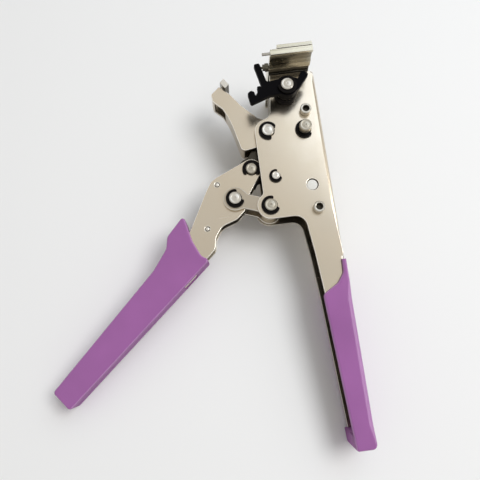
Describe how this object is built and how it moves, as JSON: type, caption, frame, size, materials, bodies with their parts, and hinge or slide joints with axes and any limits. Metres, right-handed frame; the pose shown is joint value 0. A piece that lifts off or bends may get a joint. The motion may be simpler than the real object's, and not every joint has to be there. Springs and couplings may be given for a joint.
{
  "type": "clip setting pliers",
  "caption": "Compound-lever pliers with an L-shaped jaw, a toggle link and a strip table with locating pins and a clamp lever, for pressing small metal clips on to tape.",
  "frame": {"origin": "centre of the jaw pivot's head, on its back face", "axes": "+Y along the straight spine from the fixed grip to the head, +X from the jaw pivot to the spine, +Z out of the front plate along the pivots"},
  "size_m": [0.1416, 0.1924, 0.0545],
  "materials": {
    "nickel_plate": "satin nickel-plated sheet",
    "ground_steel": "turned and ground steel",
    "milled_steel": "milled tool steel",
    "black_spring_steel": "blackened spring steel",
    "black_nylon": "black moulded nylon",
    "purple_grip": "purple moulded plastic"
  },
  "bodies": {
    "body": {"body_channel": "nickel_plate", "fixed_grip": "purple_grip", "jaw_pivot": "ground_steel", "jaw_pivot_clip": "black_spring_steel", "bracket_pin": "ground_steel", "bracket_pin_clip": "black_spring_steel", "spring_post": "ground_steel", "spring_post_clip": "black_spring_steel", "link_pivot": "ground_steel", "link_pivot_clip": "black_spring_steel", "link_spacer": "ground_steel", "lever_stud": "ground_steel", "lever_clip": "black_spring_steel", "jaw_washer_front": "ground_steel", "jaw_washer_back": "ground_steel", "upper_screw": "ground_steel", "upper_nut": "ground_steel", "lower_screw": "ground_steel", "lower_nut": "ground_steel", "lower_spacer": "ground_steel", "stop_pin": "ground_steel", "table_stem": "ground_steel", "tape_table": "milled_steel", "table_guide": "milled_steel", "press_pad": "ground_steel", "table_screw_1": "ground_steel", "table_screw_2": "ground_steel", "locating_pin": "ground_steel", "locating_post": "milled_steel", "lever_spring": "black_spring_steel", "opening_spring": "black_spring_steel"},
    "jaw": {"jaw_channel": "nickel_plate", "jaw_tongue": "ground_steel", "jaw_bush_front": "ground_steel", "jaw_bush_back": "ground_steel", "press_nose": "ground_steel"},
    "link": {"link_front": "nickel_plate", "link_back": "nickel_plate", "handle_pivot": "ground_steel", "handle_pivot_clip": "black_spring_steel"},
    "handle": {"handle_plate_front": "nickel_plate", "handle_plate_back": "nickel_plate", "handle_spacer": "milled_steel", "upper_rivet": "ground_steel", "lower_rivet": "ground_steel", "jaw_link_pin": "ground_steel", "jaw_link_clip": "black_spring_steel", "moving_grip": "purple_grip"},
    "lever": {"tape_lever": "black_nylon"}
  },
  "joints": [
    {"name": "link_hinge", "type": "hinge", "parent": "body", "child": "link", "pos_m": [-0.0037, -0.0384, 0.01075], "axis": [0, 0, 1], "range_deg": [-18.9, 0]},
    {"name": "handle_hinge", "type": "hinge", "parent": "link", "child": "handle", "pos_m": [-0.02045, -0.0324, 0.01075], "axis": [0, 0, 1], "range_deg": [0, 57.3], "stiffness_Nm_per_rad": 0.3, "springref_deg": -17.19, "deforming": ["opening_spring"]},
    {"name": "jaw_hinge", "type": "hinge", "parent": "body", "child": "jaw", "pos_m": [0, 0, 0.01075], "axis": [0, 0, 1], "range_deg": [-35.6, 0]},
    {"name": "lever_hinge", "type": "hinge", "parent": "body", "child": "lever", "pos_m": [0.0112, 0.0176, 0.02], "axis": [0, 0, -1], "range_deg": [0, 16], "stiffness_Nm_per_rad": 0.02, "springref_deg": -17.19, "deforming": ["lever_spring"]}
  ],
  "couplings": [
    {"joint": "link_hinge", "follows": "handle_hinge", "ratio": -0.32775},
    {"joint": "jaw_hinge", "follows": "handle_hinge", "ratio": -0.61955}
  ]
}
